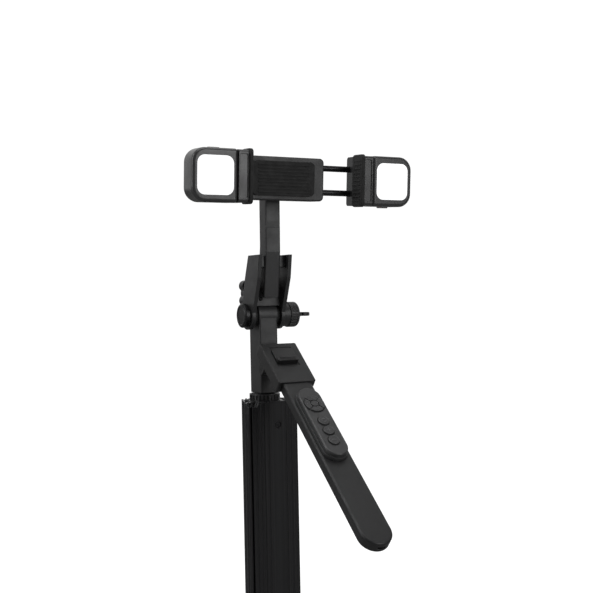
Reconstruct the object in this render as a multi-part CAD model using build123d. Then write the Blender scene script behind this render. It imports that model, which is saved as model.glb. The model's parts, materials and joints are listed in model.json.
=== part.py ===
from build123d import *
import os
from math import cos, pi, radians, sin

# Selfie stick with three folding legs, a telescopic pole, a tilting fork, a phone clamp with two
# fill lights, and a flat handle that carries a small remote. Millimetres, +Z up, origin on the
# pole's axis at the base. X is to the right and Y to the back, as seen by the phone's user.

# pole
TUBE_R = [10.0, 8.9, 7.8, 6.7, 5.6, 4.5]  # outer radii, largest first
TUBE_WALL = 1.0
TUBE_GAP = 0.1
TUBE_BOTTOM = 3.0
TUBE_STEP = 3.0  # each inner tube starts this much higher
OUTER_TOP = 263.4
COLLAR_TOP = 267.4
COLLAR_R = 10.3
COLLAR_RIBS = 26

# legs
LEG_TOP = 263.0
LEG_FACE = 15.0  # pole axis to the flat of a leg
LEG_FLAT = 6.9  # half width of that flat
LEG_WALL = 1.6
LEG_CORNER_R = 22.0
LEG_LIP_R = 16.5
LEG_GAP = 0.5  # half of the gap between two legs
LEG_TURN = -81.1  # direction of the front leg's face, degrees from +X
LEG_NAMES = ["leg_front", "leg_right", "leg_left"]
FOOT_H = 3.0
PIVOT_N = 10.0  # leg hinge, distance from the pole's axis
PIVOT_Z = 260.6
PIN_R = 1.0
SCREW_Z = 247.4
SCREW_HEAD_R = 2.5
HUB_R = 11.0
HUB_BOTTOM = 236.0

# neck and fork
HINGE_Z = 320.0
POST_W = 13.4  # across, between the fork's plates
POST_D = 16.6  # front to back
KNUCKLE_R = 8.5
BOLT_R = 2.5
FIT = 0.05  # radial clearance of a running fit
FORK_IN = 9.5  # half of the gap between the fork's plates
FORK_T = 2.6
FORK_R = 9.5
WEB_R = 8.8  # the web's underside clears the knuckle
CAP_R = 8.1
CAP_T = 3.0
CAP_WASHER_T = 1.2
KNOB_R = 8.6
KNOB_T = 7.0
KNOB_FLUTES = 24
KNOB_SPACER_T = 5.0
WING_PIVOT = 1.6  # knob's face to the wing's pin
STAR_R = 12.3
STAR_LOBE_R = 3.8
STAR_Y = 9.4
STAR_Z = 15.0  # above the tilt hinge

# clamp, in its own frame: origin at the centre of the phone's front face, y into the phone
CLAMP_AT = (10.9, -45.0, 415.9)
CLAMP_TILT = 4.41
PHONE_HALF_W = 38.7
PHONE_T = 7.7
MID_Z = -8.5  # height of the jaws' and lights' centre line
SWIVEL_X = -10.9
JAW_IN = 41.0
JAW_OUT = 48.0
JAW_FRONT = -4.0
JAW_BACK = 18.5
JAW_H = 32.6
PAD_H = 34.4
CASE_BACK = 21.0
CASE_FRONT = 10.0
CASE_X = (-41.0, 19.0)
CASE_H = 28.0
COVER_T = 3.0
ROD_Y = 15.5
ROD_R = 2.0
ROD_SPREAD = 8.0

# lights, in the clamp's frame
LIGHT_IN = 48.3
LIGHT_OUT = 78.6
LIGHT_FRONT = -3.9
LIGHT_D = 18.8
LIGHT_H = 33.2
LIGHT_WALL = 2.4
BEZEL_D = 4.5
BEZEL_ROUND = 2.2
SHELL_ROUND = 5.5
DIFFUSER_W = 24.1
DIFFUSER_X = 63.2
AXLE_R = 3.0
POWER_X = 61.4

# handle, in its own frame: origin on its hinge pin, z up along the folded arm, y to its back
ARM_AT = (0.0, -12.5, 284.7)
ARM_SWING = 51.0
BLOCK_W = 26.2
BLOCK_TOP = 4.0
BLOCK_L = 36.6
BLOCK_T = 8.3
BLOCK_BACK = -10.5
BAR_W = 19.8
BAR_SINK = 1.2  # the bar's face lies this far behind the block's
BAR_L = 164.0
EAR_X = (4.3, 8.3)
LATCH_W = 15.0
REMOTE_W = 16.6
REMOTE_L = 57.5
REMOTE_TOP = -41.8
BASE_T = 2.2
REMOTE_T = 5.0
RING_Z = -57.0
RING_R = 6.5
BUTTON_Z = [-71.5, -79.5, -87.5]
BUTTON_R = 3.5
BUTTON_GAP = 0.3

KNOB_X = FORK_IN + FORK_T + KNOB_SPACER_T + 0.2
BLOCK_FRONT = BLOCK_BACK - BLOCK_T
BAR_FRONT = BLOCK_FRONT + BAR_SINK
REMOTE_FRONT = BAR_FRONT - REMOTE_T

CLAMP = Location(CLAMP_AT, (CLAMP_TILT, 0, 0))
ARM = Location(ARM_AT, (-ARM_SWING, 0, 0))

parts = {}


# ---------------------------------------------------------------- helpers


def slab(x, y, z):
    """A box from its lowest and highest value along each axis."""
    size = [b - a for a, b in (x, y, z)]
    centre = [(a + b) / 2 for a, b in (x, y, z)]
    return Pos(*centre) * Box(*size)


def rod(radius, length, axis, start):
    """A cylinder that starts at a point and runs along +axis."""
    turn = {"x": Rot(0, 90, 0), "y": Rot(-90, 0, 0), "z": Rot(0, 0, 0)}[axis]
    return Pos(*start) * turn * Pos(0, 0, length / 2) * Cylinder(radius, length)


def round_slab(x, y, z, radius, axis):
    """A box whose four edges along one axis are rounded."""
    body = slab(x, y, z)
    along = {"x": Axis.X, "y": Axis.Y, "z": Axis.Z}[axis]
    return fillet(body.edges().filter_by(along), radius)


def soften(body, radius, axis, side):
    """Rounds the edges of the outermost face along an axis; side -1 takes the first face."""
    face = body.faces().sort_by(axis)[side]
    return fillet(face.edges(), radius)


# ---------------------------------------------------------------- pole


def outer_tube():
    body = rod(TUBE_R[0], OUTER_TOP - TUBE_BOTTOM, "z", (0, 0, TUBE_BOTTOM))
    bore = rod(TUBE_R[1] + TUBE_GAP, 400, "z", (0, 0, 0))
    return body - bore


def tube_collar():
    """The ferrule at the pole's top: a plain rim over a ring of ribs."""
    body = rod(COLLAR_R - 0.8, COLLAR_TOP - OUTER_TOP, "z", (0, 0, OUTER_TOP))
    body += rod(COLLAR_R, 0.8, "z", (0, 0, COLLAR_TOP - 0.8))
    for i in range(COLLAR_RIBS):
        rib = slab((COLLAR_R - 1.6, COLLAR_R), (-0.6, 0.6), (OUTER_TOP, COLLAR_TOP - 0.4))
        body += Rot(0, 0, i * 360 / COLLAR_RIBS) * rib
    return body - rod(TUBE_R[1] + TUBE_GAP, 400, "z", (0, 0, 0))


def base_plug():
    body = rod(TUBE_R[0] - 0.2, TUBE_BOTTOM, "z", (0, 0, 0))
    body = chamfer(body.edges().sort_by(Axis.Z)[0], 0.8)
    return body + rod(TUBE_R[1] + TUBE_GAP, 3.5, "z", (0, 0, TUBE_BOTTOM))


def inner_tube(i):
    bottom = TUBE_BOTTOM + 4 + TUBE_STEP * i
    body = rod(TUBE_R[i], COLLAR_TOP - bottom, "z", (0, 0, bottom))
    inside = TUBE_R[i + 1] + TUBE_GAP if i + 1 < len(TUBE_R) else TUBE_R[i] - 0.8
    return body - rod(inside, 400, "z", (0, 0, 0))


def make_pole():
    parts["outer_tube"] = outer_tube()
    parts["tube_collar"] = tube_collar()
    parts["base_plug"] = base_plug()
    for i in range(1, len(TUBE_R)):
        parts[f"tube_{i + 1}"] = inner_tube(i)


# ---------------------------------------------------------------- legs
# A leg is drawn facing +X, then turned to its place. n is across its face, t along it.


def border(radius, inset):
    """A point on the line where two legs meet, moved into this leg by inset."""
    return (
        radius * cos(radians(60)) + inset * sin(radians(60)),
        radius * sin(radians(60)) - inset * cos(radians(60)),
    )


def sector(points):
    """A face that mirrors a list of points about the leg's own middle line."""
    outline = points + [(n, -t) for n, t in reversed(points)]
    return make_face(Polyline(*outline, close=True))


def leg_outline():
    return sector(
        [
            border(LEG_LIP_R, LEG_GAP),
            border(LEG_CORNER_R - 1.2, LEG_GAP),
            (LEG_FACE - 3.1, 18.0),
            (LEG_FACE - 1.5, LEG_FLAT + 5.7),
            (LEG_FACE, LEG_FLAT),
        ]
    )


def leg_hollow(grow=0.0):
    """The space inside the channel; a plug inside it is drawn with a negative grow."""
    wall = LEG_WALL - grow
    return sector(
        [
            border(LEG_LIP_R, -2.0),
            border(LEG_LIP_R, LEG_GAP + wall),
            border(LEG_CORNER_R - 3.6 + 3 * grow, LEG_GAP + wall),
            (LEG_FACE - 1.5 - wall, LEG_FLAT + 5.2),
            (LEG_FACE - wall, LEG_FLAT - 0.4),
        ]
    )


def leg_top_cut():
    """Slopes the top corners, so that a leg swings out past its neighbours."""
    low = LEG_TOP - 3.0
    cut = Polyline((13.2, LEG_TOP + 0.01), (14.9, low), (26, low), (26, 280), (13.2, 280), close=True)
    side = extrude(Plane.YZ * make_face(cut), 30)
    return side + mirror(side, Plane.XZ)


def leg_channel():
    body = extrude(leg_outline(), LEG_TOP - FOOT_H)
    body -= extrude(leg_hollow(), LEG_TOP)
    for side in (-1, 1):
        for t, n in ((LEG_FLAT, LEG_FACE - 0.25), (12.2, LEG_FACE - 1.55)):
            body += extrude(Pos(n, side * t) * Circle(0.7), LEG_TOP - FOOT_H)
        for t, n in ((10.4, LEG_FACE - 0.9), (15.4, LEG_FACE - 2.3)):
            body -= extrude(Pos(n, side * t) * Circle(0.3), LEG_TOP)
    body = Pos(0, 0, FOOT_H) * body
    body -= leg_top_cut()
    inner_edge = Pos(LEG_FACE - LEG_WALL, 0, LEG_TOP) * Rot(0, 45, 0) * Box(1.7, 60, 1.7)
    body -= inner_edge
    return body - rod(SCREW_HEAD_R + 0.1, 10, "x", (11, 0, SCREW_Z))


def leg_hinge_block():
    """Plastic insert in the leg's top, with an ear at each side for the hinge pins."""
    low, high = HUB_BOTTOM + 4, PIVOT_Z - 2.4
    body = Pos(0, 0, low) * extrude(leg_hollow(-0.05), high - low)
    body &= slab((HUB_R + 0.4, 14), (-12.0, 12.0), (low, high))
    web = Pos(0, 0, low) * extrude(leg_outline() - leg_hollow(-0.05), LEG_TOP - low)
    for side in (-1, 1):
        t = (9.3, 12.0) if side > 0 else (-12.0, -9.3)
        ear = slab((PIVOT_N, PIVOT_N + 2.2), t, (high - 6, PIVOT_Z))
        ear += slab((PIVOT_N - 2.2, PIVOT_N + 0.1), t, (high - 3, PIVOT_Z))
        ear += rod(2.2, 2.7, "y", (PIVOT_N, t[0], PIVOT_Z))
        body += ear - web
    body -= rod(PIN_R + FIT, 40, "y", (PIVOT_N, -20, PIVOT_Z))
    return body - rod(0.9, 10, "x", (8, 0, SCREW_Z))


def leg_screw():
    head = rod(SCREW_HEAD_R, 1.1, "x", (LEG_FACE - 1.55, 0, SCREW_Z))
    head -= rod(1.1, 0.6, "x", (LEG_FACE - 1.0, 0, SCREW_Z))
    return head + rod(0.9, 2.0, "x", (HUB_R + 0.5, 0, SCREW_Z))


def leg_foot():
    """Rubber sole with a plug that fills the channel's end."""
    clear = rod(TUBE_R[0] + 0.6, 40, "z", (0, 0, -1))
    sole = extrude(leg_outline(), FOOT_H) - clear
    plug = Pos(0, 0, FOOT_H) * extrude(leg_hollow(-0.05), 9)
    plug &= slab((TUBE_R[0] + 0.6, 20), (-15, 15), (FOOT_H, FOOT_H + 9))
    return sole + (plug - clear)


def leg_hub():
    """Sleeve that slides on the outer tube, with two lugs for each leg."""
    body = rod(HUB_R, LEG_TOP - HUB_BOTTOM - 0.3, "z", (0, 0, HUB_BOTTOM))
    for i in range(3):
        for t in ((6.5, 9.0), (-9.0, -6.5)):
            lug = slab((5.0, PIVOT_N), t, (PIVOT_Z - 6, PIVOT_Z + 2.0))
            lug += slab((5.0, PIVOT_N + 0.6), t, (PIVOT_Z - 6, PIVOT_Z - 2.0))
            lug += rod(2.0, 2.5, "y", (PIVOT_N, t[0], PIVOT_Z))
            lug -= rod(PIN_R, 40, "y", (PIVOT_N, -20, PIVOT_Z))
            body += Rot(0, 0, LEG_TURN + 120 * i) * lug
    return body - rod(TUBE_R[0] + FIT, 400, "z", (0, 0, 0))


def leg_pins():
    pins = []
    for i in range(3):
        for t in (6.5, -12.0):
            pins.append(Rot(0, 0, LEG_TURN + 120 * i) * rod(PIN_R, 5.5, "y", (PIVOT_N, t, PIVOT_Z)))
    return Compound(children=pins)


def make_legs():
    parts["leg_hub"] = leg_hub()
    parts["leg_pins"] = leg_pins()
    pieces = {
        "": leg_channel(),
        "_hinge_block": leg_hinge_block(),
        "_screw": leg_screw(),
        "_foot": leg_foot(),
    }
    for i, name in enumerate(LEG_NAMES):
        for suffix, body in pieces.items():
            parts[name + suffix] = Rot(0, 0, LEG_TURN + 120 * i) * body


# ---------------------------------------------------------------- neck and fork


def neck_post():
    """Square post: knuckle on top, lug for the handle in front, round spigot below."""
    half = POST_W / 2
    base = COLLAR_TOP + 0.4
    body = round_slab((-half, half), (-POST_D / 2, POST_D / 2), (base, HINGE_Z), 1.2, "z")
    body = soften(body, 0.8, Axis.Z, 0)
    body += rod(KNUCKLE_R, POST_W, "x", (-half, 0, HINGE_Z))
    body += slab((-4, 4), (ARM_AT[1], 0), (ARM_AT[2] - 4.2, ARM_AT[2] + 4.2))
    body += rod(4.2, 8, "x", (-4, ARM_AT[1], ARM_AT[2]))
    body += rod(TUBE_R[5] - 0.8 - FIT, 34, "z", (0, 0, base - 33))
    body -= rod(BOLT_R + FIT, 40, "x", (-20, 0, HINGE_Z))
    return body - rod(1.5 + FIT, 20, "x", (-10, ARM_AT[1], ARM_AT[2]))


def fork_side():
    """Outline of one fork plate in the YZ plane, leaning forward as it rises."""
    lean = Polyline((9.0, 0), (2.0, 25), (-4.0, 40), (-21.0, 40), (-18.5, 25), (-9.3, 2), close=True)
    return make_face(lean) + Circle(FORK_R)


def stem():
    """Spine that leans forward from the web and stands up to the swivel boss."""
    side = Polyline(
        (-13.5, 12), (-17.5, 42), (-18.5, 88), (-8.5, 88), (-8.0, 46), (-4.0, 17), close=True
    )
    body = Pos(-5.5, 0, 0) * extrude(Plane.YZ * make_face(side), 11.0)
    return fillet(body.edges().filter_by(GeomType.LINE).filter_by(Axis.X, reverse=True), 1.0)


def tilt_yoke():
    """Fork with two plates, the web between them, and the stem up to the swivel boss."""
    plate = extrude(Plane.YZ * fork_side(), FORK_T)
    body = Pos(FORK_IN, 0, 0) * plate + Pos(-FORK_IN - FORK_T, 0, 0) * plate
    reach = FORK_IN + 0.1
    web = slab((-reach, reach), (-7.0, 6.0), (6.3, 18.5))
    body += web - rod(WEB_R, 40, "x", (-20, 0, 0))
    body += rod(4.5, 3.2, "y", (0, 5.9, STAR_Z))
    body += slab((-reach, reach), (-15.0, -8.5), (32.0, 39.5))
    body += stem()
    body = Pos(0, 0, HINGE_Z) * body
    boss = CLAMP * rod(11.0, 10.0, "y", (SWIVEL_X, CASE_BACK + COVER_T + 0.4, MID_Z))
    body += boss
    body -= CLAMP * slab((-30, 30), (0, CASE_BACK + COVER_T + 0.4), (-40, 40))
    body -= rod(BOLT_R, 40, "x", (-20, 0, HINGE_Z))
    body -= CLAMP * rod(4.0, 40, "y", (SWIVEL_X, 0, MID_Z))
    return body - rod(2.0, 20, "y", (0, -4, HINGE_Z + STAR_Z))


def tilt_bolt():
    """Round cap on the left and a shank through the fork, ending inside the knob."""
    outside = -FORK_IN - FORK_T
    head = rod(CAP_R, CAP_T, "x", (outside - CAP_WASHER_T - CAP_T, 0, HINGE_Z))
    head = soften(head, 0.9, Axis.X, 0)
    start = outside - CAP_WASHER_T - 0.1
    return head + rod(BOLT_R, KNOB_X + 4 - start, "x", (start, 0, HINGE_Z))


def washer(radius, thickness, x):
    body = rod(radius, thickness, "x", (x, 0, HINGE_Z))
    return body - rod(BOLT_R, 40, "x", (-20, 0, HINGE_Z))


def tilt_washers():
    left = washer(7.0, CAP_WASHER_T, -FORK_IN - FORK_T - CAP_WASHER_T)
    right = washer(8.0, KNOB_SPACER_T, FORK_IN + FORK_T)
    return Compound(children=[left, right])


def friction_discs():
    gap = FORK_IN - POST_W / 2 - 0.05
    discs = [washer(7.0, gap, POST_W / 2 + 0.05), washer(7.0, gap, -FORK_IN)]
    return Compound(children=discs)


def swivel_stud():
    """Headed stud that joins the fork's boss to the clamp, so that the clamp can turn."""
    back = CASE_BACK + COVER_T
    body = rod(4.0 - FIT, 14.0, "y", (SWIVEL_X, back - 4.4, MID_Z))
    body += rod(4.0, 9.6, "y", (SWIVEL_X, back + 0.4, MID_Z))
    return CLAMP * (body + rod(7.0, 1.4, "y", (SWIVEL_X, back - 5.2, MID_Z)))


def tilt_knob():
    """Fluted knob on the bolt's free end, with two ears for its wing."""
    face = KNOB_X + KNOB_T
    body = rod(KNOB_R, KNOB_T, "x", (KNOB_X, 0, HINGE_Z))
    body = soften(body, 1.8, Axis.X, -1)
    for i in range(KNOB_FLUTES):
        flute = rod(0.5, KNOB_T - 1.2, "x", (KNOB_X - 1, KNOB_R + 0.1, 0))
        body -= Pos(0, 0, HINGE_Z) * Rot(i * 360 / KNOB_FLUTES, 0, 0) * flute
    for y in (-3.6, 2.0):
        ear = slab((face - 0.5, face + WING_PIVOT), (y, y + 1.6), (HINGE_Z - 1.5, HINGE_Z + 1.5))
        body += ear + rod(1.5, 1.6, "y", (face + WING_PIVOT, y, HINGE_Z))
    body -= rod(0.8 + FIT, 10, "y", (face + WING_PIVOT, -5, HINGE_Z))
    return body - rod(BOLT_R + FIT, KNOB_X + 24.3, "x", (-20, 0, HINGE_Z))


def knob_wing():
    """Folding loop on the knob: it stands out for turning and folds down on either side."""
    pivot = KNOB_X + KNOB_T + WING_PIVOT
    loop = Ellipse(4.7, 5.2) - Pos(0.8, 0) * Ellipse(2.2, 2.6)
    body = Pos(pivot + 4.0, 0, HINGE_Z - 1.3) * extrude(loop, 2.6)
    body = fillet(body.edges().filter_by(GeomType.ELLIPSE), 0.7)
    for y in (-6.0, 1.8):
        body -= rod(2.0, 4.2, "y", (pivot, y, HINGE_Z))
    body -= slab((pivot - 3, pivot), (-6, 6), (HINGE_Z - 2, HINGE_Z + 2))
    body += rod(1.4, 3.6, "y", (pivot, -1.8, HINGE_Z))
    return body + rod(0.8, 6.8, "y", (pivot, -3.4, HINGE_Z))


def star_knob():
    """Five-lobed knob behind the fork, with its threaded shank in the fork's web."""
    reach = STAR_R - STAR_LOBE_R
    body = rod(reach + 0.6, 6.8, "z", (0, 0, 0))
    for i in range(5):
        lobe = soften(rod(STAR_LOBE_R, 6.8, "z", (reach, 0, 0)), 0.8, Axis.Z, -1)
        body += Rot(0, 0, i * 72) * lobe
    body += rod(2.0 - FIT, STAR_Y + 6, "z", (0, 0, -STAR_Y - 2.5))
    return Pos(0, STAR_Y, HINGE_Z + STAR_Z) * Rot(-90, 0, 0) * body


def make_neck():
    parts["neck_post"] = neck_post()
    parts["handle_pin"] = rod(1.5, 16.6, "x", (-8.3, ARM_AT[1], ARM_AT[2]))
    parts["tilt_yoke"] = tilt_yoke()
    parts["tilt_bolt"] = tilt_bolt()
    parts["tilt_washers"] = tilt_washers()
    parts["friction_discs"] = friction_discs()
    parts["swivel_stud"] = swivel_stud()
    parts["tilt_knob"] = tilt_knob()
    parts["knob_wing"] = knob_wing()
    parts["star_knob"] = star_knob()


# ---------------------------------------------------------------- clamp


def clamp_case():
    half = CASE_H / 2
    z = (MID_Z - half, MID_Z + half)
    body = round_slab(CASE_X, (CASE_FRONT, CASE_BACK), z, 3.0, "y")
    body = soften(body, 1.0, Axis.Y, 0)
    hollow = slab((CASE_X[0] + 2, CASE_X[1] - 10), (CASE_FRONT + 2, 40), (z[0] + 2, z[1] - 2))
    body -= hollow
    for side in (-1, 1):
        body -= rod(ROD_R + FIT, 40, "x", (0, ROD_Y, MID_Z + side * ROD_SPREAD))
    return body


def clamp_cover():
    half = CASE_H / 2
    z = (MID_Z - half, MID_Z + half)
    body = round_slab(CASE_X, (CASE_BACK, CASE_BACK + COVER_T), z, 3.0, "y")
    body = soften(body, 1.0, Axis.Y, -1)
    return body - rod(4.0, 40, "y", (SWIVEL_X, 0, MID_Z))


def clamp_pad():
    z = (MID_Z - 11, MID_Z + 11)
    return round_slab((CASE_X[0] + 8, CASE_X[1] - 8), (PHONE_T + 0.4, CASE_FRONT), z, 3.0, "y")


def jaw():
    """A jaw block on the +x side, with a panel recess in front and a bore for the light."""
    z = (MID_Z - JAW_H / 2, MID_Z + JAW_H / 2)
    body = round_slab((JAW_IN, JAW_OUT), (JAW_FRONT, JAW_BACK), z, 2.0, "x")
    panel = (JAW_IN + 0.8, JAW_OUT - 0.8)
    body -= round_slab(panel, (JAW_FRONT - 1, JAW_FRONT + 0.7), (z[0] + 2.5, z[1] - 2.5), 1.2, "y")
    return body - rod(AXLE_R + FIT, 20, "x", (JAW_OUT - 5.3, LIGHT_FRONT + LIGHT_D / 2, MID_Z))


def jaw_pad():
    z = (MID_Z - PAD_H / 2, MID_Z + PAD_H / 2)
    body = round_slab((PHONE_HALF_W, JAW_IN), (-5.6, PHONE_T), z, 2.5, "x")
    return fillet(body.edges().group_by(Axis.X)[0], 0.9)


def guide_rods():
    rods = [rod(ROD_R, 61, "x", (-16.5, ROD_Y, MID_Z + s * ROD_SPREAD)) for s in (-1, 1)]
    return Compound(children=rods)


def make_clamp():
    right = jaw()
    for side in (-1, 1):
        right -= rod(ROD_R, 8.5, "x", (36, ROD_Y, MID_Z + side * ROD_SPREAD))
    parts["clamp_case"] = CLAMP * clamp_case()
    parts["clamp_cover"] = CLAMP * clamp_cover()
    parts["clamp_pad"] = CLAMP * clamp_pad()
    parts["jaw_left"] = CLAMP * mirror(jaw(), Plane.YZ)
    parts["jaw_left_pad"] = CLAMP * mirror(jaw_pad(), Plane.YZ)
    parts["jaw_right"] = CLAMP * right
    parts["jaw_right_pad"] = CLAMP * jaw_pad()
    parts["guide_rods"] = CLAMP * guide_rods()


# ---------------------------------------------------------------- lights
# Drawn on the +x side with the button below; the left light is the same one turned half round.

LIGHT_MID_Y = LIGHT_FRONT + LIGHT_D / 2


def light_body(y, shrink):
    """The light's outline between two depths: large corners outside, small ones at the jaw."""
    z = (MID_Z - LIGHT_H / 2 + shrink, MID_Z + LIGHT_H / 2 - shrink)
    body = slab((LIGHT_IN + shrink, LIGHT_OUT - shrink), y, z)
    edges = body.edges().filter_by(Axis.Y).sort_by(Axis.X)
    body = fillet(edges[2:], 9.0 - shrink)
    return fillet(body.edges().filter_by(Axis.Y).sort_by(Axis.X)[:2], 2.0)


def diffuser_body(y, grow):
    half = DIFFUSER_W / 2 + grow
    x = (DIFFUSER_X - half, DIFFUSER_X + half)
    return round_slab(x, y, (MID_Z - half, MID_Z + half), 5.0 + grow, "y")


def light_shell():
    body = light_body((LIGHT_FRONT + BEZEL_D, LIGHT_FRONT + LIGHT_D), 0)
    body = soften(body, SHELL_ROUND, Axis.Y, -1)
    body -= light_body((LIGHT_FRONT - 1, LIGHT_FRONT + LIGHT_D - LIGHT_WALL), LIGHT_WALL)
    stub = rod(AXLE_R, 6.6, "x", (JAW_OUT - 5, LIGHT_MID_Y, MID_Z))
    body += stub
    x = (POWER_X - 4.2, POWER_X + 4.2)
    low = MID_Z - LIGHT_H / 2
    return body - round_slab(x, (LIGHT_MID_Y - 1.7, LIGHT_MID_Y + 1.7), (low - 1, low + 4), 1.4, "z")


def light_bezel():
    body = light_body((LIGHT_FRONT, LIGHT_FRONT + BEZEL_D), 0)
    body = soften(body, BEZEL_ROUND, Axis.Y, 0)
    return body - diffuser_body((LIGHT_FRONT - 1, LIGHT_FRONT + BEZEL_D + 1), 0)


def light_diffuser():
    body = diffuser_body((LIGHT_FRONT + 0.2, LIGHT_FRONT + 2.5), 0)
    return body + diffuser_body((LIGHT_FRONT + 2.5, LIGHT_FRONT + 3.3), -2.0)


def light_board():
    x = (LIGHT_IN + 3.0, DIFFUSER_X + 11.0)
    board = slab(x, (LIGHT_MID_Y - 2.6, LIGHT_MID_Y - 2.0), (MID_Z - 11.0, MID_Z + 12.0))
    cell_x = (DIFFUSER_X - 10, DIFFUSER_X + 10)
    return board + slab(cell_x, (LIGHT_MID_Y - 2.0, LIGHT_MID_Y + 3.4), (MID_Z - 9.0, MID_Z + 9.0))


def light_button():
    """Power button in the shell's edge, 0.9 proud."""
    low = MID_Z - LIGHT_H / 2
    x = (POWER_X - 4.0, POWER_X + 4.0)
    body = round_slab(x, (LIGHT_MID_Y - 1.5, LIGHT_MID_Y + 1.5), (low - 0.9, low + 2.2), 1.3, "z")
    return fillet(body.faces().sort_by(Axis.Z)[0].edges(), 0.4)


def make_lights():
    half_turn = Pos(0, 0, MID_Z) * Rot(0, 180, 0) * Pos(0, 0, -MID_Z)
    pieces = {
        "shell": light_shell(),
        "bezel": light_bezel(),
        "diffuser": light_diffuser(),
        "board": light_board(),
        "button": light_button(),
    }
    for name, body in pieces.items():
        parts[f"light_right_{name}"] = CLAMP * body
        parts[f"light_left_{name}"] = CLAMP * half_turn * body


# ---------------------------------------------------------------- handle and remote


def stadium(width, top, length, front, back):
    """A round-ended bar between two depths, hanging down from its top."""
    face = Pos(0, top - length / 2) * SlotOverall(length, width, rotation=90)
    return extrude(Plane.XZ * Pos(0, 0, -back) * face, back - front)


def handle_block():
    x = (-BLOCK_W / 2, BLOCK_W / 2)
    z = (BLOCK_TOP - BLOCK_L, BLOCK_TOP)
    body = round_slab(x, (BLOCK_FRONT, BLOCK_BACK), z, 1.0, "y")
    body = soften(body, 0.7, Axis.Y, 0)
    body -= Pos(0, BLOCK_BACK, BLOCK_TOP) * Rot(45, 0, 0) * Box(60, 1.2, 1.2)
    for side in (-1, 1):
        ear = slab(EAR_X, (BLOCK_BACK - 0.1, 0), (-3.6, BLOCK_TOP - 0.6))
        ear += rod(3.6, EAR_X[1] - EAR_X[0], "x", (EAR_X[0], 0, 0))
        body += ear if side > 0 else mirror(ear, Plane.YZ)
    body -= rod(1.5, 40, "x", (-20, 0, 0))
    socket = slab((-7, 7), (BAR_FRONT + 1.2, BLOCK_BACK - 1.2), (z[0] - 1, z[0] + 18))
    recess = slab((-LATCH_W / 2 - 0.2, LATCH_W / 2 + 0.2), (BLOCK_FRONT - 1, BLOCK_FRONT + 0.5), (-17.6, 0.0))
    return body - socket - recess


def handle_bar():
    """Flat grip with a round end, a tang for the block's socket and a slot in its tip."""
    top = BLOCK_TOP - BLOCK_L
    bar = stadium(BAR_W, top + BAR_W, BAR_L - BLOCK_L + BAR_W, BAR_FRONT, BLOCK_BACK)
    bar = fillet(bar.edges().group_by(Axis.Y)[0], 1.2)
    bar = fillet(bar.edges().group_by(Axis.Y)[-1], 1.2)
    bar &= slab((-20, 20), (-40, 10), (-300, top))
    bar += slab((-7, 7), (BAR_FRONT + 1.2, BLOCK_BACK - 1.2), (top - 0.1, top + 17.8))
    tip = BLOCK_TOP - BAR_L
    middle_y = (BAR_FRONT + BLOCK_BACK) / 2
    return bar - slab((-2.4, 2.4), (middle_y - 0.8, middle_y + 0.8), (tip - 1, tip + 3))


def handle_latch():
    x = (-LATCH_W / 2, LATCH_W / 2)
    body = round_slab(x, (BLOCK_FRONT - 1.0, BLOCK_FRONT + 0.4), (-15.4, -1.8), 2.0, "y")
    lip = round_slab(x, (BLOCK_FRONT - 2.6, BLOCK_FRONT + 0.4), (-15.4, -11.4), 1.6, "y")
    return body + lip


def remote_base():
    return stadium(REMOTE_W, REMOTE_TOP, REMOTE_L, BAR_FRONT - BASE_T, BAR_FRONT - 0.05)


def remote_case():
    body = stadium(REMOTE_W - 1.4, REMOTE_TOP - 0.7, REMOTE_L - 1.4, REMOTE_FRONT, BAR_FRONT - BASE_T)
    body = fillet(body.edges().group_by(Axis.Y)[0], 0.8)
    body -= stadium(REMOTE_W - 3.8, REMOTE_TOP - 1.9, REMOTE_L - 3.8, REMOTE_FRONT + 1.4, 0)
    body -= rod(RING_R + BUTTON_GAP, 2.4, "y", (0, REMOTE_FRONT - 1, RING_Z))
    for z in BUTTON_Z:
        body -= rod(BUTTON_R + BUTTON_GAP, 5, "y", (0, REMOTE_FRONT - 1, z))
    return body


def remote_board():
    """Circuit board inside the case."""
    bottom = BAR_FRONT - BASE_T
    ends = (REMOTE_TOP - REMOTE_L + 5, REMOTE_TOP - 6)
    return slab((-5, 5), (bottom - 0.6, bottom), ends)


def remote_ring():
    """Four-way button: a ring cut into four petals, on one disc."""
    y = REMOTE_FRONT - 0.9
    body = rod(5.6, 1.0, "y", (0, REMOTE_FRONT + 0.1, RING_Z))
    petals = rod(RING_R, 1.1, "y", (0, y, RING_Z)) - rod(3.0, 3, "y", (0, y - 1, RING_Z))
    for turn in (45, 135):
        petals -= Pos(0, y, RING_Z) * Rot(0, turn, 0) * Box(16, 1.6, 0.7)
    return body + petals + rod(2.3, 1.1, "y", (0, y, RING_Z))


def remote_button(z):
    body = rod(BUTTON_R, 2.0, "y", (0, REMOTE_FRONT - 0.9, z))
    return fillet(body.edges().sort_by(Axis.Y)[0], 0.3)


def make_handle():
    pieces = {
        "handle_block": handle_block(),
        "handle_bar": handle_bar(),
        "handle_latch": handle_latch(),
        "remote_base": remote_base(),
        "remote_case": remote_case(),
        "remote_board": remote_board(),
        "remote_ring": remote_ring(),
    }
    for i, z in enumerate(BUTTON_Z):
        pieces[f"remote_button_{i + 1}"] = remote_button(z)
    for name, body in pieces.items():
        parts[name] = ARM * body


make_pole()
make_legs()
make_neck()
make_clamp()
make_lights()
make_handle()

os.makedirs("parts", exist_ok=True)
for name, body in parts.items():
    export_step(body, f"parts/{name}.step")
print(len(parts), "parts")
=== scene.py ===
"""Looks of the selfie stick: camera, studio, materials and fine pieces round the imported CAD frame."""
import json
import math

import bmesh
import bpy
from mathutils import Matrix, Vector


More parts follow.
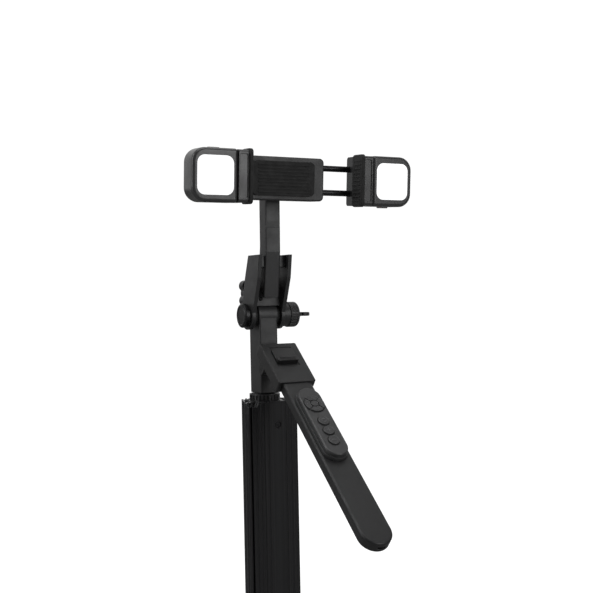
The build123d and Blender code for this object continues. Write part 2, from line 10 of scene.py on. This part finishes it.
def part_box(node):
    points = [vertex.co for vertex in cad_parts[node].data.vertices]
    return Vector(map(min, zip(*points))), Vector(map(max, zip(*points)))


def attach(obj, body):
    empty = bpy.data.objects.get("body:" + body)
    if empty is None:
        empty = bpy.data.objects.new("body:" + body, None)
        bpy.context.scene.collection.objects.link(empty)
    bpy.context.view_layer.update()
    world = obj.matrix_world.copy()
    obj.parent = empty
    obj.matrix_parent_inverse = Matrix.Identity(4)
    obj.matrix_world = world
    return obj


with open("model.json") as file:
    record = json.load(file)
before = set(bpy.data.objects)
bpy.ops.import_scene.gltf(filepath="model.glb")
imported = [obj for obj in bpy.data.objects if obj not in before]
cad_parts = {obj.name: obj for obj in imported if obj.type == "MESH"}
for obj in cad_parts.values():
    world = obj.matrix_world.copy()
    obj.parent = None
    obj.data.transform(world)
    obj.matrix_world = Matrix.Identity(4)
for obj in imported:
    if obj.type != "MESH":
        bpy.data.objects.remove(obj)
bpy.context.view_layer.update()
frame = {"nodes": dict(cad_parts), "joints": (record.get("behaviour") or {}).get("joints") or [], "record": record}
scene = bpy.context.scene
scene.view_settings.view_transform = "Standard"
nodes = frame["nodes"]

# camera, measured from the middle of the tilt hinge
CAMERA_OFFSET = Vector((-0.28094, -0.60077, 0.0145))
CAMERA_YAW = math.radians(27.025)
CAMERA_PITCH = math.radians(0.206)
CAMERA_ROLL = math.radians(1.135)
LENS_MM = 59.64
SENSOR_MM = 36.0

PAPER = (1.0, 1.0, 1.0)
PAPER_GLOW = 1.05
FLOOR = (0.3, 0.3, 0.3)
FLOOR_GLOW = 1.0
ROOM_LOW = 0.05
ROOM_HIGH = 0.16
ROOM_BACK = 0.75
MM = 0.001
FLOOR_HALF = 30.0
LATHE_STEPS = 28
SHARP_ANGLE = math.radians(35)
BEVEL = 0.45 * MM  # radius that the shading gives to sharp edges

record = frame["record"]
joints = {joint["name"]: joint for joint in frame["joints"]}


def middle(node):
    low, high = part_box(node)
    return (low + high) / 2


# ---------------------------------------------------------------- camera and studio


def add_camera():
    hinge = middle("friction_discs")
    ahead = Vector(
        (
            math.sin(CAMERA_YAW) * math.cos(CAMERA_PITCH),
            math.cos(CAMERA_YAW) * math.cos(CAMERA_PITCH),
            -math.sin(CAMERA_PITCH),
        )
    )
    level_right = Vector((math.cos(CAMERA_YAW), -math.sin(CAMERA_YAW), 0))
    level_down = ahead.cross(level_right)
    right = level_right * math.cos(CAMERA_ROLL) + level_down * math.sin(CAMERA_ROLL)
    up = level_right * math.sin(CAMERA_ROLL) - level_down * math.cos(CAMERA_ROLL)
    data = bpy.data.cameras.new("camera")
    data.lens = LENS_MM
    data.sensor_width = SENSOR_MM
    data.clip_start = 0.01
    camera = bpy.data.objects.new("camera", data)
    axes = Matrix((right, up, -ahead)).transposed()
    camera.matrix_world = Matrix.Translation(hinge + CAMERA_OFFSET) @ axes.to_4x4()
    scene.collection.objects.link(camera)
    scene.camera = camera


def add_world():
    """White where the camera looks; for the object, a room that is bright above and behind it."""
    world = bpy.data.worlds.new("studio")
    world.use_nodes = True
    tree = world.node_tree
    room = tree.nodes["Background"]
    paper = tree.nodes.new("ShaderNodeBackground")
    paper.inputs["Color"].default_value = (*PAPER, 1)
    paper.inputs["Strength"].default_value = PAPER_GLOW
    height = tree.nodes.new("ShaderNodeSeparateXYZ")
    ray = tree.nodes.new("ShaderNodeTexCoord")
    ramp = tree.nodes.new("ShaderNodeMapRange")
    ramp.inputs["From Min"].default_value = -0.3
    ramp.inputs["From Max"].default_value = 0.9
    ramp.inputs["To Min"].default_value = ROOM_LOW
    ramp.inputs["To Max"].default_value = ROOM_HIGH
    path = tree.nodes.new("ShaderNodeLightPath")
    mix = tree.nodes.new("ShaderNodeMixShader")
    room.inputs["Color"].default_value = (1, 1, 1, 1)
    depth = tree.nodes.new("ShaderNodeVectorMath")
    depth.operation = "DOT_PRODUCT"
    depth.inputs[1].default_value = (math.sin(CAMERA_YAW), math.cos(CAMERA_YAW), 0)
    behind = tree.nodes.new("ShaderNodeMapRange")
    behind.inputs["From Min"].default_value = 0.25
    behind.inputs["From Max"].default_value = 0.85
    behind.inputs["To Max"].default_value = ROOM_BACK
    total = tree.nodes.new("ShaderNodeMath")
    tree.links.new(ray.outputs["Generated"], height.inputs[0])
    tree.links.new(height.outputs["Z"], ramp.inputs["Value"])
    tree.links.new(ray.outputs["Generated"], depth.inputs[0])
    tree.links.new(depth.outputs["Value"], behind.inputs["Value"])
    tree.links.new(ramp.outputs["Result"], total.inputs[0])
    tree.links.new(behind.outputs["Result"], total.inputs[1])
    tree.links.new(total.outputs["Value"], room.inputs["Strength"])
    tree.links.new(path.outputs["Is Camera Ray"], mix.inputs["Fac"])
    tree.links.new(room.outputs["Background"], mix.inputs[1])
    tree.links.new(paper.outputs["Background"], mix.inputs[2])
    tree.links.new(mix.outputs["Shader"], tree.nodes["World Output"].inputs["Surface"])
    scene.world = world


def add_floor():
    mesh = bpy.data.meshes.new("floor")
    corners = [(x * FLOOR_HALF, y * FLOOR_HALF, 0) for x, y in ((-1, -1), (1, -1), (1, 1), (-1, 1))]
    mesh.from_pydata(corners, [], [(0, 1, 2, 3)])
    floor = bpy.data.objects.new("floor", mesh)
    material = bpy.data.materials.new("paper")
    material.use_nodes = True
    tree = material.node_tree
    shader = tree.nodes["Principled BSDF"]
    shader.inputs["Base Color"].default_value = (*FLOOR, 1)
    shader.inputs["Roughness"].default_value = 0.9
    shader.inputs["Specular IOR Level"].default_value = 0.0
    glow = tree.nodes.new("ShaderNodeEmission")
    glow.inputs["Color"].default_value = (*PAPER, 1)
    glow.inputs["Strength"].default_value = FLOOR_GLOW
    path = tree.nodes.new("ShaderNodeLightPath")
    mix = tree.nodes.new("ShaderNodeMixShader")
    both = tree.nodes.new("ShaderNodeAddShader")
    tree.links.new(shader.outputs["BSDF"], both.inputs[0])
    tree.links.new(glow.outputs["Emission"], both.inputs[1])
    tree.links.new(path.outputs["Is Camera Ray"], mix.inputs["Fac"])
    tree.links.new(shader.outputs["BSDF"], mix.inputs[1])
    tree.links.new(both.outputs["Shader"], mix.inputs[2])
    tree.links.new(mix.outputs["Shader"], tree.nodes["Material Output"].inputs["Surface"])
    mesh.materials.append(material)
    scene.collection.objects.link(floor)


def add_light(name, place, aim, size, watts):
    data = bpy.data.lights.new(name, "AREA")
    data.shape = "RECTANGLE"
    data.size, data.size_y = size
    data.energy = watts
    light = bpy.data.objects.new(name, data)
    light.location = place
    light.rotation_euler = (aim - Vector(place)).to_track_quat("-Z", "Y").to_euler()
    light.visible_camera = False
    scene.collection.objects.link(light)


def add_lights():
    aim = middle("tilt_yoke")
    add_light("overhead", (0.0, -0.1, 1.5), aim, (1.0, 1.0), 6)
    add_light("front", (0.55, -1.5, 0.75), aim, (0.7, 1.1), 8)
    add_light("left_rim", (-1.2, 0.1, 0.8), aim, (0.5, 1.2), 7)
    add_light("right_rim", (1.2, 0.9, 0.6), aim, (0.4, 1.2), 3)


# ---------------------------------------------------------------- materials
# Every surface reads its own object coordinates in metres, so a pattern's size is a real one.


class Shader:
    """A material's node tree, with short calls for the nodes that the surfaces here are made of."""

    def __init__(self, name):
        self.material = bpy.data.materials.new(name)
        self.material.use_nodes = True
        self.tree = self.material.node_tree
        self.surface = self.tree.nodes["Principled BSDF"]
        self.place = self.add("ShaderNodeTexCoord").outputs["Object"]
        self.height = None

    def add(self, kind, **settings):
        node = self.tree.nodes.new(kind)
        for key, value in settings.items():
            setattr(node, key, value)
        return node

    def link(self, source, target):
        self.tree.links.new(source, target)

    def fixed(self, **values):
        """Sets the shader's own sockets; an underscore in a name stands for a space."""
        for key, value in values.items():
            self.surface.inputs[key.replace("_", " ")].default_value = value

    def stretched(self, scale):
        mapping = self.add("ShaderNodeMapping")
        mapping.inputs["Scale"].default_value = scale
        self.link(self.place, mapping.inputs["Vector"])
        return mapping.outputs["Vector"]

    def noise(self, size_mm, detail=3.0, place=None):
        noise = self.add("ShaderNodeTexNoise")
        noise.inputs["Scale"].default_value = 1000.0 / size_mm
        noise.inputs["Detail"].default_value = detail
        self.link(place or self.place, noise.inputs["Vector"])
        return noise.outputs["Fac"]

    def ranged(self, source, low, high, start=0.3, end=0.7):
        node = self.add("ShaderNodeMapRange")
        node.inputs["From Min"].default_value = start
        node.inputs["From Max"].default_value = end
        node.inputs["To Min"].default_value = low
        node.inputs["To Max"].default_value = high
        self.link(source, node.inputs["Value"])
        return node.outputs["Result"]

    def mixed(self, share, first, second):
        """A colour between two, where each is a fixed colour or a socket."""
        node = self.add("ShaderNodeMix", data_type="RGBA")
        self.link(share, node.inputs["Factor"])
        for value, name in ((first, "A"), (second, "B")):
            socket = [s for s in node.inputs if s.name == name and s.type == "RGBA"][0]
            if isinstance(value, tuple):
                socket.default_value = (*value, 1)
            else:
                self.link(value, socket)
        return [s for s in node.outputs if s.type == "RGBA"][0]

    def edge_wear_and_highlight_mask(self, amount):
        """Where an edge is sharp, from 0 to amount, broken up by a noise of a few millimetres: a mask that
        lightens edges, partly as rubbed wear and partly as a painted highlight.
        """
        bevel = self.add("ShaderNodeBevel", samples=4)
        bevel.inputs["Radius"].default_value = BEVEL
        flat = self.add("ShaderNodeNewGeometry").outputs["Normal"]
        dot = self.add("ShaderNodeVectorMath", operation="DOT_PRODUCT")
        self.link(bevel.outputs["Normal"], dot.inputs[0])
        self.link(flat, dot.inputs[1])
        edge = self.ranged(dot.outputs["Value"], amount, 0.0, 0.8, 0.985)
        rubbed_and_highlit = self.add("ShaderNodeMath", operation="MULTIPLY")
        self.link(edge, rubbed_and_highlit.inputs[0])
        self.link(self.ranged(self.noise(4.0), 0.45, 1.0), rubbed_and_highlit.inputs[1])
        return rubbed_and_highlit.outputs["Value"]

    def colour(self, base, spread=0.18, patch_mm=22.0, wear_and_highlight_amount=0.5, wear_and_highlight_colour=None):
        """A base colour that drifts a little over the surface and is lighter along its edges, partly as wear and
        partly as a painted highlight.
        """
        dark = tuple(c * (1 - spread) for c in base)
        light = tuple(c * (1 + spread) for c in base)
        drift = self.mixed(self.ranged(self.noise(patch_mm), 0.0, 1.0), dark, light)
        # the lighter edge colour is partly rubbed wear and partly a painted highlight
        wear_and_highlight_colour = wear_and_highlight_colour or tuple(c * 3.2 + 0.01 for c in base)
        result = self.mixed(self.edge_wear_and_highlight_mask(wear_and_highlight_amount), drift, wear_and_highlight_colour)
        self.link(result, self.surface.inputs["Base Color"])

    def roughness(self, low, high, size_mm=9.0):
        self.link(self.ranged(self.noise(size_mm), low, high), self.surface.inputs["Roughness"])

    def bump(self, source, depth_mm, strength=1.0):
        """Adds a height on top of the ones before it, over a softened edge."""
        node = self.add("ShaderNodeBump")
        node.inputs["Strength"].default_value = strength
        node.inputs["Distance"].default_value = depth_mm * MM
        self.link(source, node.inputs["Height"])
        if self.height is None:
            bevel = self.add("ShaderNodeBevel", samples=4)
            bevel.inputs["Radius"].default_value = BEVEL
            self.height = bevel.outputs["Normal"]
        self.link(self.height, node.inputs["Normal"])
        self.height = node.outputs["Normal"]
        self.link(self.height, self.surface.inputs["Normal"])


def moulded(name, base, rough, grain_mm, grain_depth, wear_and_highlight_amount=0.45):
    """Moulded plastic: a spark-eroded grain, faint flow marks and rubbed edges, the edges lightened partly as wear
    and partly as a painted highlight.
    """
    shader = Shader(name)
    shader.colour(base, wear_and_highlight_amount=wear_and_highlight_amount)
    shader.roughness(rough - 0.06, rough + 0.07)
    shader.bump(shader.noise(45.0, detail=1.0), 0.06)
    shader.bump(shader.noise(grain_mm, detail=2.0), grain_depth)
    return shader


def black_plastic():
    return moulded("black_plastic", (0.026, 0.026, 0.027), 0.42, 0.35, 0.012)


def handle_plastic():
    shader = moulded("handle_plastic", (0.009, 0.009, 0.0095), 0.46, 0.4, 0.02, wear_and_highlight_amount=0.7)
    shader.fixed(Specular_IOR_Level=0.55)
    return shader


def gloss_black():
    shader = moulded("gloss_black", (0.042, 0.042, 0.043), 0.32, 0.5, 0.008, wear_and_highlight_amount=0.4)
    shader.fixed(Coat_Weight=0.15, Coat_Roughness=0.25)
    return shader


def anodised():
    """Extruded tube: drawing lines along Z under a black anodised skin."""
    shader = Shader("black_aluminium")
    lines = shader.noise(1000.0, detail=4.0, place=shader.stretched((1400.0, 1400.0, 6.0)))
    bands = shader.noise(1000.0, detail=2.0, place=shader.stretched((260.0, 260.0, 2.0)))
    base = shader.mixed(shader.ranged(bands, 0.0, 1.0), (0.010, 0.010, 0.011), (0.019, 0.019, 0.020))
    lined = shader.mixed(shader.ranged(lines, 0.0, 0.6), base, (0.030, 0.030, 0.032))
    # edges lightened partly as wear and partly as a painted highlight
    wear_and_highlight_colour = shader.mixed(shader.edge_wear_and_highlight_mask(0.5), lined, (0.075, 0.075, 0.08))
    shader.link(wear_and_highlight_colour, shader.surface.inputs["Base Color"])
    shader.link(shader.ranged(lines, 0.3, 0.48), shader.surface.inputs["Roughness"])
    shader.bump(bands, 0.03)
    shader.bump(lines, 0.01)
    shader.fixed(Metallic=0.35, Anisotropic=0.4)
    return shader


def black_steel():
    """Black oxide: blotchy, slightly oily, with turning marks."""
    shader = Shader("black_steel")
    # lighter edges: partly rubbed wear, partly a painted highlight
    shader.colour((0.026, 0.026, 0.027), spread=0.3, patch_mm=5.0, wear_and_highlight_amount=0.7, wear_and_highlight_colour=(0.16, 0.16, 0.165))
    shader.roughness(0.24, 0.42, 3.0)
    shader.bump(shader.noise(0.5), 0.01)
    shader.fixed(Metallic=0.8)
    return shader


def black_rubber():
    shader = Shader("black_rubber")
    shader.colour((0.014, 0.014, 0.014), spread=0.25, patch_mm=8.0, wear_and_highlight_amount=0.3)
    shader.roughness(0.66, 0.84, 4.0)
    shader.bump(shader.noise(0.6, detail=4.0), 0.03)
    shader.fixed(Sheen_Weight=0.08, Sheen_Roughness=0.5)
    return shader


def white_diffuser():
    """Frosted cover that glows evenly, a little weaker in broad patches, with a pitted surface."""
    shader = Shader("white_diffuser")
    pits = shader.add("ShaderNodeTexVoronoi")
    pits.inputs["Scale"].default_value = 900.0
    shader.link(shader.place, pits.inputs["Vector"])
    glow = shader.mixed(shader.ranged(shader.noise(12.0), 0.0, 1.0), (1.0, 1.0, 1.0), (0.95, 0.96, 0.97))
    shader.link(glow, shader.surface.inputs["Emission Color"])
    shader.link(glow, shader.surface.inputs["Base Color"])
    shader.fixed(Emission_Strength=0.75)
    shader.roughness(0.4, 0.55, 6.0)
    shader.bump(pits.outputs["Distance"], 0.04)
    return shader


def grey_button():
    shader = Shader("grey_button")
    # lighter edges: partly rubbed wear, partly a painted highlight
    shader.colour((0.34, 0.345, 0.35), spread=0.06, patch_mm=3.0, wear_and_highlight_amount=0.2, wear_and_highlight_colour=(0.6, 0.6, 0.6))
    shader.roughness(0.3, 0.4, 2.0)
    shader.bump(shader.noise(0.3), 0.006)
    shader.fixed(Subsurface_Weight=0.2, Subsurface_Scale=0.002)
    return shader


def circuit_board():
    shader = Shader("circuit_board")
    weave = shader.noise(1.2, detail=1.0)
    mask = shader.mixed(shader.ranged(weave, 0.0, 1.0), (0.012, 0.07, 0.035), (0.02, 0.11, 0.055))
    shader.link(mask, shader.surface.inputs["Base Color"])
    shader.roughness(0.25, 0.38, 2.0)
    shader.bump(weave, 0.02)
    return shader


def printed_grey():
    """The pale ink of the marks on the remote."""
    shader = Shader("printed_grey")
    shader.colour((0.09, 0.09, 0.093), spread=0.12, patch_mm=1.5, wear_and_highlight_amount=0.2)
    shader.roughness(0.5, 0.62, 1.0)
    shader.bump(shader.noise(0.2), 0.004)
    return shader


MATERIALS = {
    "black_plastic": black_plastic().material,
    "handle_plastic": handle_plastic().material,
    "gloss_black": gloss_black().material,
    "black_aluminium": anodised().material,
    "black_steel": black_steel().material,
    "black_rubber": black_rubber().material,
    "white_diffuser": white_diffuser().material,
    "grey_button": grey_button().material,
    "circuit_board": circuit_board().material,
    "printed_grey": printed_grey().material,
}


PAINTED_LIGHT_JAWS = ("jaw_left", "jaw_right")  # polished like the lights they carry, and lighter in colour, which paints in the light falling on their fronts


def finish_nodes():
    """Gives each CAD node the finish of its slot in the record, but the jaws the lights' finish, whose lighter
    colour paints in the light that falls on the jaws.
    """
    for subpart in record["subparts"]:
        node = nodes[subpart["node"]]
        for slot in node.material_slots:
            name = "gloss_black" if subpart["node"] in PAINTED_LIGHT_JAWS else subpart["material_slot"]
            slot.material = MATERIALS[name]


# ---------------------------------------------------------------- mesh helpers


def frame_of(origin, across, up):
    """A right-handed frame at a point: x across, z up, y away from the viewer."""
    across = Vector(across).normalized()
    up = Vector(up).normalized()
    away = up.cross(across)
    axes = Matrix((across, away, up)).transposed()
    return Matrix.Translation(Vector(origin)) @ axes.to_4x4()


def piece(name, mesh, body, slot, finish=None):
    """Adds a built mesh as a piece of the object and lets it ride on a body."""
    bmesh.ops.remove_doubles(mesh, verts=mesh.verts, dist=1e-7)
    bmesh.ops.recalc_face_normals(mesh, faces=mesh.faces)
    data = bpy.data.meshes.new(name)
    mesh.to_mesh(data)
    mesh.free()
    data.materials.append(MATERIALS[finish or slot])
    made = bpy.data.objects.new(name, data)
    scene.collection.objects.link(made)
    data.shade_smooth()
    data.set_sharp_from_angle(angle=SHARP_ANGLE)
    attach(made, body)
    return made


def add_lathe(mesh, profile, frame_matrix, steps=LATHE_STEPS):
    """Turns a profile of (radius, height) about the frame's -y axis; radius 0 closes it."""
    rings = []
    for radius, height in profile:
        if radius == 0:
            rings.append([mesh.verts.new(frame_matrix @ Vector((0, -height, 0)))])
            continue
        ring = []
        for i in range(steps):
            turn = 2 * math.pi * i / steps
            point = Vector((radius * math.cos(turn), -height, radius * math.sin(turn)))
            ring.append(mesh.verts.new(frame_matrix @ point))
        rings.append(ring)
    for lower, upper in zip(rings, rings[1:]):
        for i in range(steps):
            corners = [lower[i % len(lower)], lower[(i + 1) % len(lower)]]
            corners += [upper[(i + 1) % len(upper)], upper[i % len(upper)]]
            unique = list(dict.fromkeys(corners))
            if len(unique) > 2:
                mesh.faces.new(unique)


def add_prism(mesh, outline, low, high, frame_matrix, ease=0.0):
    """Raises an outline of (x, z) from depth low to depth high towards -y, with eased top edges."""
    centre = Vector((sum(p[0] for p in outline), sum(p[1] for p in outline))) / len(outline)
    levels = [(low, 0.0), (high - ease, 0.0), (high, ease)]
    rings = []
    for depth, inset in levels:
        ring = []
        for x, z in outline:
            point = Vector((x, z))
            inward = (centre - point).normalized() * inset
            x, z = point + inward
            ring.append(mesh.verts.new(frame_matrix @ Vector((x, -depth, z))))
        rings.append(ring)
    count = len(outline)
    for lower, upper in zip(rings, rings[1:]):
        for i in range(count):
            j = (i + 1) % count
            mesh.faces.new([lower[i], lower[j], upper[j], upper[i]])
    mesh.faces.new(rings[0])
    mesh.faces.new(rings[-1])


def rounded(width, height, radius, steps=5, centre=(0.0, 0.0)):
    """The outline of a rectangle with round corners."""
    points = []
    for corner, (sx, sz) in enumerate(((1, 1), (-1, 1), (-1, -1), (1, -1))):
        for i in range(steps + 1):
            turn = math.radians(90 * corner + 90 * i / steps)
            x = sx * (width / 2 - radius) + radius * math.cos(turn)
            z = sz * (height / 2 - radius) + radius * math.sin(turn)
            points.append((centre[0] + x, centre[1] + z))
    return points


def cross_head_screw(name, frame_matrix, body, radius):
    """A pan-head screw with a cross recess, as one closed mesh."""
    mesh = bmesh.new()
    arm = radius * 0.62
    half = radius * 0.15
    depth = radius * 0.45
    crown = radius * 0.5
    profile = [(radius, 0.0), (radius, crown * 0.55), (radius * 0.86, crown * 0.88), (radius * 0.68, crown)]
    add_lathe(mesh, [(0, 0.0)] + profile, frame_matrix)
    rim = list(mesh.verts)[-LATHE_STEPS:]
    cross = []
    for quarter in range(4):
        turn = Matrix.Rotation(quarter * math.pi / 2, 3, "Y")
        for x, z in ((half, half), (arm, half), (arm, -half)):
            cross.append(turn @ Vector((x, 0, z)))
    upper = [mesh.verts.new(frame_matrix @ Vector((p.x, -crown, p.z))) for p in cross]
    lower = [mesh.verts.new(frame_matrix @ Vector((p.x, depth - crown, p.z))) for p in cross]
    count = len(cross)
    for i in range(count):
        j = (i + 1) % count
        mesh.faces.new([upper[i], upper[j], lower[j], lower[i]])
    mesh.faces.new(lower)
    edges = [mesh.edges.get((rim[i], rim[(i + 1) % 28])) for i in range(28)]
    edges += [mesh.edges.get((upper[i], upper[(i + 1) % count])) for i in range(count)]
    bmesh.ops.triangle_fill(mesh, use_beauty=True, edges=[e for e in edges if e])
    return piece(name, mesh, body, "black_steel")


# ---------------------------------------------------------------- frames of the tilted parts

clamp_away = Vector(joints["clamp_swivel"]["axis"]).normalized()
clamp_across = Vector((1, 0, 0))
clamp_up = clamp_across.cross(clamp_away)
arm_along = Vector(joints["latch_release"]["axis"]).normalized()
arm_out = Vector(joints["remote_lift"]["axis"]).normalized()


def face_frame(node, away, up, side=1.0):
    """A frame in the middle of a node's outermost face against the direction away."""
    data = nodes[node].data
    away = Vector(away).normalized()
    up = Vector(up).normalized()
    across = away.cross(up)
    points = [v.co for v in data.vertices]
    depth = min(p.dot(away) for p in points) if side > 0 else max(p.dot(away) for p in points)
    middle_up = (max(p.dot(up) for p in points) + min(p.dot(up) for p in points)) / 2
    middle_across = (max(p.dot(across) for p in points) + min(p.dot(across) for p in points)) / 2
    origin = away * depth + up * middle_up + across * middle_across
    axes = Matrix((across, away * side, up)).transposed()
    if side < 0:
        axes = Matrix((-across, -away, up)).transposed()
    return Matrix.Translation(origin) @ axes.to_4x4()


# ---------------------------------------------------------------- fine pieces


def remote_marks():
    """Raised marks on the remote: a plus, a bar and a ring on the buttons, arrows on the pad."""
    lift = 0.12 * MM
    arm, half = 1.7 * MM, 0.28 * MM
    for i in (1, 2, 3):
        face = face_frame(f"remote_button_{i}", -arm_out, arm_along)
        mesh = bmesh.new()
        if i == 1:
            add_lathe(mesh, mark_ring(1.55 * MM, 0.5 * MM, lift), face)
        else:
            add_prism(mesh, rounded(2 * arm, 2 * half, half * 0.9), -lift, lift, face, half * 0.2)
        if i == 2:
            for end in (-1, 1):
                tip = rounded(2 * half, arm - half, half * 0.9, centre=(0, end * (arm + half) / 2))
                add_prism(mesh, tip, -lift, lift, face, half * 0.2)
        piece(f"remote_mark_{i}", mesh, f"remote_button_{i}", "gloss_black", "printed_grey")
    face = face_frame("remote_ring", -arm_out, arm_along)
    mesh = bmesh.new()
    for quarter in range(4):
        turn = face @ Matrix.Rotation(quarter * math.pi / 2, 4, "Y")
        arrow = [(0, 5.6 * MM), (-0.8 * MM, 4.5 * MM), (0.8 * MM, 4.5 * MM)]
        add_prism(mesh, arrow, -lift, lift, turn, 0.08 * MM)
    piece("remote_arrows", mesh, "remote_ring", "gloss_black", "printed_grey")


def mark_ring(radius, width, lift):
    """A lathe profile of a flat ring that starts and ends below the surface."""
    inner = radius - width
    return [(inner, -lift), (inner, lift), (radius, lift), (radius, -lift), (inner, -lift)]


def latch_ridges():
    """Three thumb ridges across the latch's raised lip."""
    face = face_frame("handle_latch", -arm_out, arm_along)
    mesh = bmesh.new()
    low = -6.3 * MM
    for i in range(3):
        centre = (0.0, low + i * 1.15 * MM)
        ridge = rounded(11.0 * MM, 0.6 * MM, 0.28 * MM, centre=centre)
        add_prism(mesh, ridge, -0.3 * MM, 0.3 * MM, face, 0.16 * MM)
    piece("latch_ridges", mesh, "handle_latch", "handle_plastic")


def pad_ribs():
    """Rubber ribs on the three faces that touch the phone."""
    face = face_frame("clamp_pad", clamp_away, clamp_up)
    mesh = bmesh.new()
    for i in range(9):
        centre = (0.0, (i - 4) * 2.2 * MM)
        rib = rounded(37.0 * MM, 0.9 * MM, 0.42 * MM, centre=centre)
        add_prism(mesh, rib, -0.3 * MM, 0.3 * MM, face, 0.2 * MM)
    piece("clamp_pad_ribs", mesh, "clamp", "black_rubber")
    for node, body, away in (
        ("jaw_left_pad", "clamp", Vector((-1, 0, 0))),
        ("jaw_right_pad", "sliding_jaw", Vector((1, 0, 0))),
    ):
        face = face_frame(node, away, clamp_up)
        mesh = bmesh.new()
        for i in range(11):
            centre = (0.0, (i - 5) * 2.6 * MM)
            rib = rounded(9.0 * MM, 1.0 * MM, 0.45 * MM, centre=centre)
            add_prism(mesh, rib, -0.3 * MM, 0.25 * MM, face, 0.2 * MM)
        piece(f"{node}_ribs", mesh, body, "black_rubber")


def back_screws():
    """Screws that hold the clamp's cover and each light's two shells."""
    face = face_frame("clamp_cover", clamp_away, clamp_up, side=-1)
    for i, (x, z) in enumerate(((25, 9), (-25, 9), (25, -9), (-25, -9))):
        place = face @ Matrix.Translation((x * MM, -0.02 * MM, z * MM))
        cross_head_screw(f"cover_screw_{i + 1}", place, "clamp", 1.9 * MM)
    for side in ("left", "right"):
        face = face_frame(f"light_{side}_shell", clamp_away, clamp_up, side=-1)
        for i, z in enumerate((9.0, -9.0)):
            place = face @ Matrix.Translation((0, -0.02 * MM, z * MM))
            cross_head_screw(f"light_{side}_screw_{i + 1}", place, f"light_{side}", 1.5 * MM)


def web_screw():
    """Small dome-headed screw in the fork's web."""
    hinge = middle("friction_discs")
    place = frame_of(hinge + Vector((-4.9, -7.0, 10.9)) * MM, (1, 0, 0), (0, 0, 1))
    cross_head_screw("web_screw", place, "fork", 1.25 * MM)


def cap_ring():
    """Turned rim round the bolt's cap, with a shallow dish inside."""
    face = face_frame("tilt_bolt", (1, 0, 0), (0, 0, 1))
    mesh = bmesh.new()
    low, high = -0.15 * MM, 0.35 * MM
    inner, outer = 5.7 * MM, 7.0 * MM
    profile = [(inner, low), (inner, 0.1 * MM), (inner + 0.35 * MM, high), (outer - 0.35 * MM, high)]
    profile += [(outer, 0.1 * MM), (outer, low), (inner, low)]
    add_lathe(mesh, profile, face, steps=64)
    piece("cap_ring", mesh, "fork", "black_steel")


def leg_ribs():
    """Fine ribs along both flanks of each leg, from the foot to the sloped top."""
    for name in ("leg_front", "leg_right", "leg_left"):
        low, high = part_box(name)
        screw = middle(f"{name}_screw")
        away = Vector((-screw.x, -screw.y, 0)).normalized()
        centre = Vector((0, 0, (low.z + high.z) / 2))
        across = away.cross(Vector((0, 0, 1)))
        axes = Matrix((across, away, Vector((0, 0, 1)))).transposed()
        face = Matrix.Translation(centre) @ axes.to_4x4()
        mesh = bmesh.new()
        half = (high.z - low.z) / 2
        for side in (-1, 1):
            for t, n in ((13.9, 12.9), (16.6, 12.15)):
                rib = rounded(0.5 * MM, 2 * half - 9.0 * MM, 0.2 * MM, centre=(side * t * MM, -3.0 * MM))
                add_prism(mesh, rib, (n - 0.4) * MM, (n + 0.12) * MM, face, 0.1 * MM)
        piece(f"{name}_ribs", mesh, name, "black_aluminium")


# ---------------------------------------------------------------- build

add_camera()
add_world()
add_floor()
add_lights()
finish_nodes()
remote_marks()
latch_ridges()
pad_ribs()
back_screws()
web_screw()
cap_ring()
leg_ribs()
